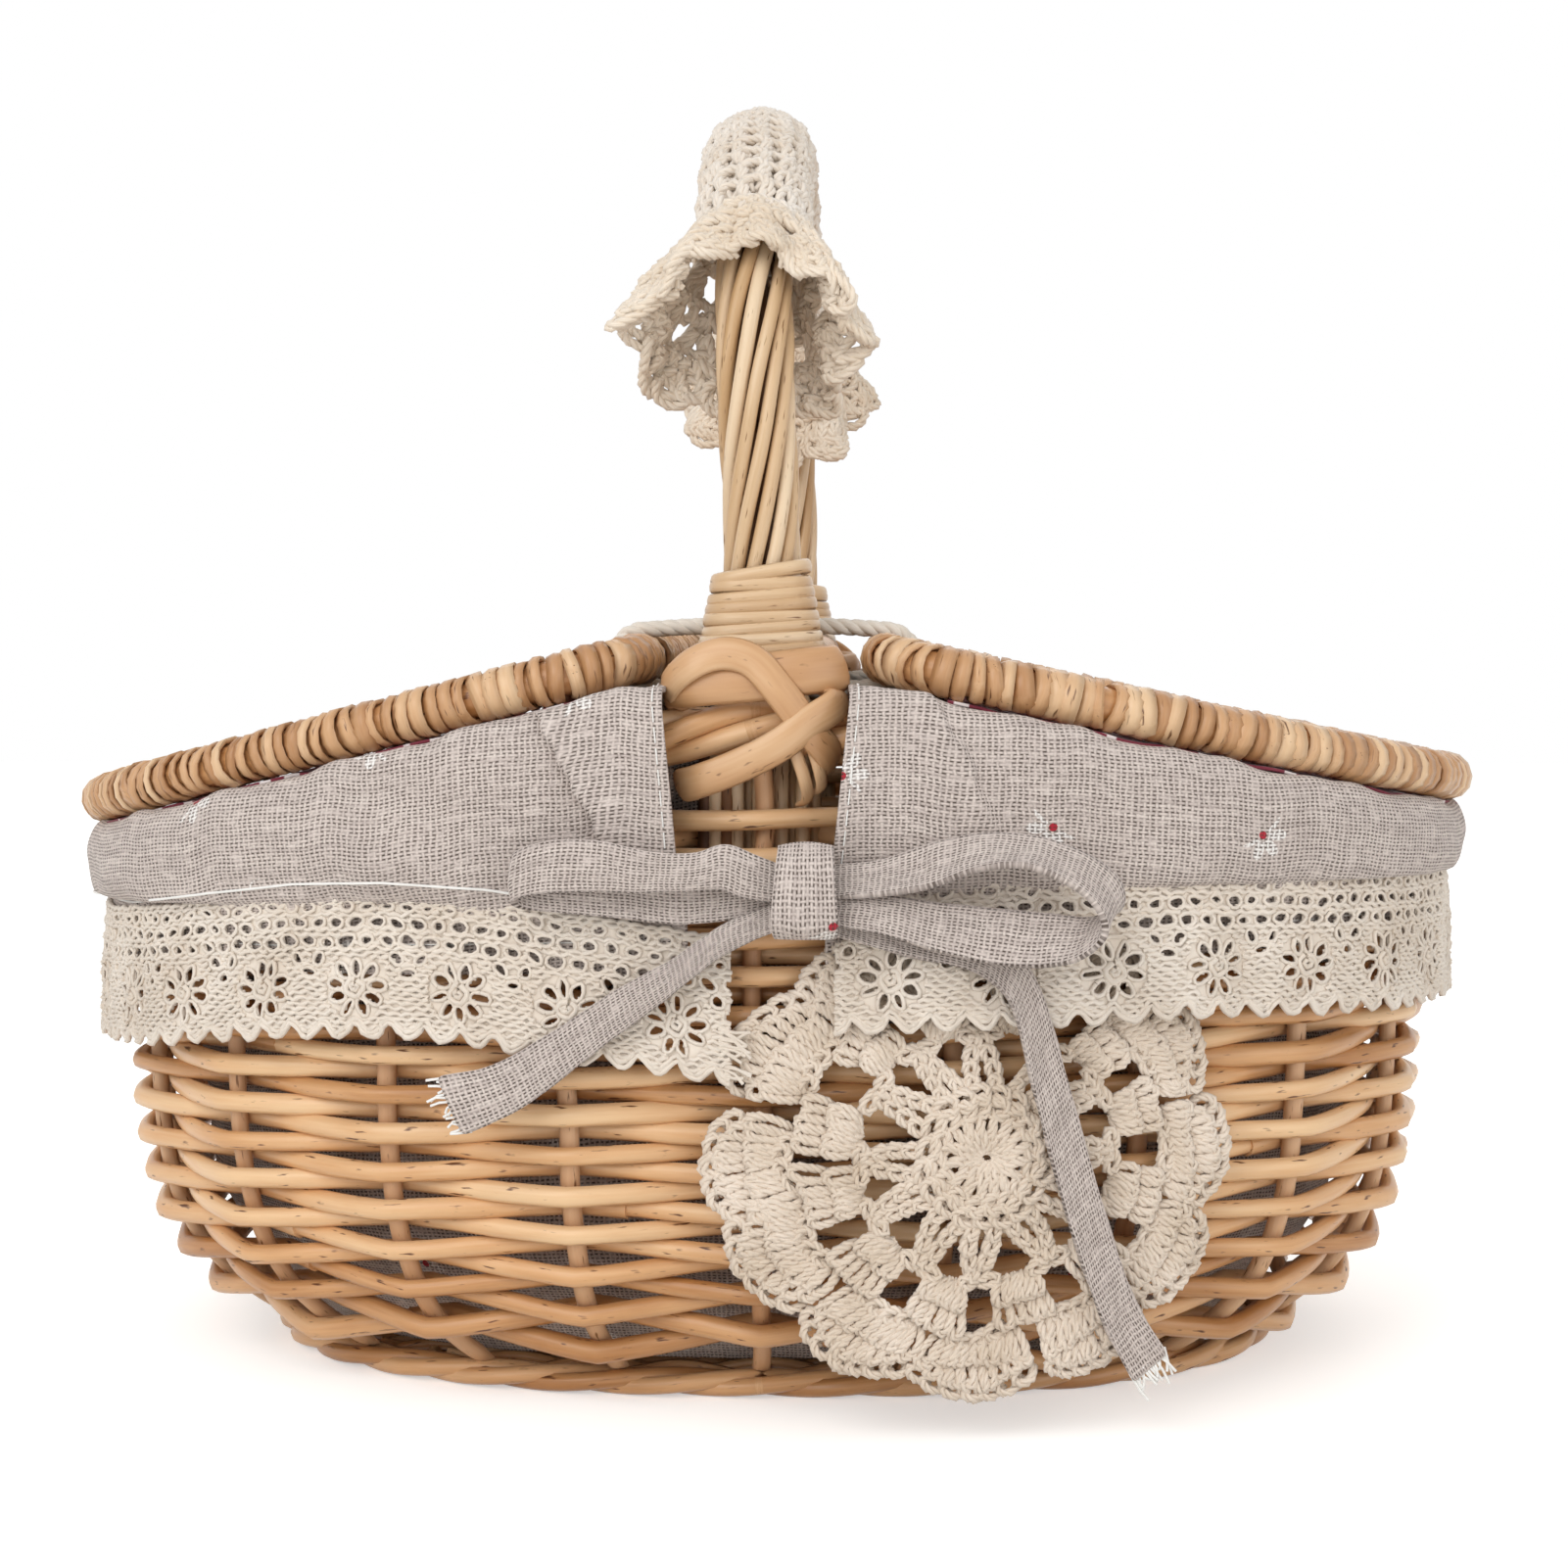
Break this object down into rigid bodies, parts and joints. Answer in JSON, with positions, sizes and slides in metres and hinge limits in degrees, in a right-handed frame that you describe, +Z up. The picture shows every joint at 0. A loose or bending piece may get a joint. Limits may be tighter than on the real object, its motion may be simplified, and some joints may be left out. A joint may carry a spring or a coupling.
{
  "type": "picnic hamper",
  "caption": "Boat-shaped woven willow picnic hamper with an arched handle, sloping lids hinged on cord at a bridge, linen liner, lace, bow and crochet trimmings.",
  "frame": {"origin": "middle of the foot's footprint, on the surface that the hamper stands on", "axes": "+Z up; +X along the hamper's length, to the right as seen from the front; the front with the rosette looks along -Y"},
  "size_m": [0.3472, 0.2854, 0.3115],
  "materials": {
    "willow": "buff willow, satin",
    "peeled_willow": "peeled willow, satin",
    "linen": "plain woven linen, sparse small print",
    "cotton": "cream cotton yarn, lace and rope",
    "printed_lining": "printed cotton"
  },
  "bodies": {
    "basket": {"foot_wale": "willow", "base_mat": "willow", "side_weaver_1": "willow", "side_weaver_2": "willow", "side_weaver_3": "willow", "rim_border": "willow", "lashing_front": "willow", "lashing_back": "willow", "bridge_bar": "willow", "stake_01": "peeled_willow", "stake_02": "peeled_willow", "stake_03": "peeled_willow", "stake_04": "peeled_willow", "stake_05": "peeled_willow", "stake_06": "peeled_willow", "stake_07": "peeled_willow", "stake_08": "peeled_willow", "stake_09": "peeled_willow", "stake_10": "peeled_willow", "stake_11": "peeled_willow", "stake_12": "peeled_willow", "stake_13": "peeled_willow", "stake_14": "peeled_willow", "stake_15": "peeled_willow", "stake_16": "peeled_willow", "stake_17": "peeled_willow", "stake_18": "peeled_willow", "stake_19": "peeled_willow", "stake_20": "peeled_willow", "stake_21": "peeled_willow", "handle_rods": "peeled_willow", "handle_collar_front": "peeled_willow", "handle_collar_back": "peeled_willow", "liner_bag": "linen", "liner_flap_left": "linen", "liner_flap_right": "linen", "bow_front_knot": "linen", "bow_front_loop_right": "linen", "bow_front_loop_left": "linen", "bow_front_tail_left": "linen", "bow_front_tail_right": "linen", "bow_back_knot": "linen", "bow_back_loop_right": "linen", "bow_back_loop_left": "linen", "bow_back_tail_left": "linen", "bow_back_tail_right": "linen", "hinge_cord_front": "cotton", "hinge_cord_back": "cotton", "lace_trim_left": "cotton", "lace_trim_right": "cotton", "crochet_rosette": "cotton", "grip_cover": "cotton"},
    "lid_left": {"lid_left_hoop": "peeled_willow", "lid_left_weave": "willow", "lid_left_lining": "printed_lining"},
    "lid_right": {"lid_right_hoop": "peeled_willow", "lid_right_weave": "willow", "lid_right_lining": "printed_lining"}
  },
  "joints": [
    {"name": "lid_left_hinge", "type": "hinge", "parent": "basket", "child": "lid_left", "pos_m": [-0.028, 0, 0.16991], "axis": [0, 1, 0], "range_deg": [0, 95]},
    {"name": "lid_right_hinge", "type": "hinge", "parent": "basket", "child": "lid_right", "pos_m": [0.028, 0, 0.16991], "axis": [0, -1, 0], "range_deg": [0, 95]}
  ]
}
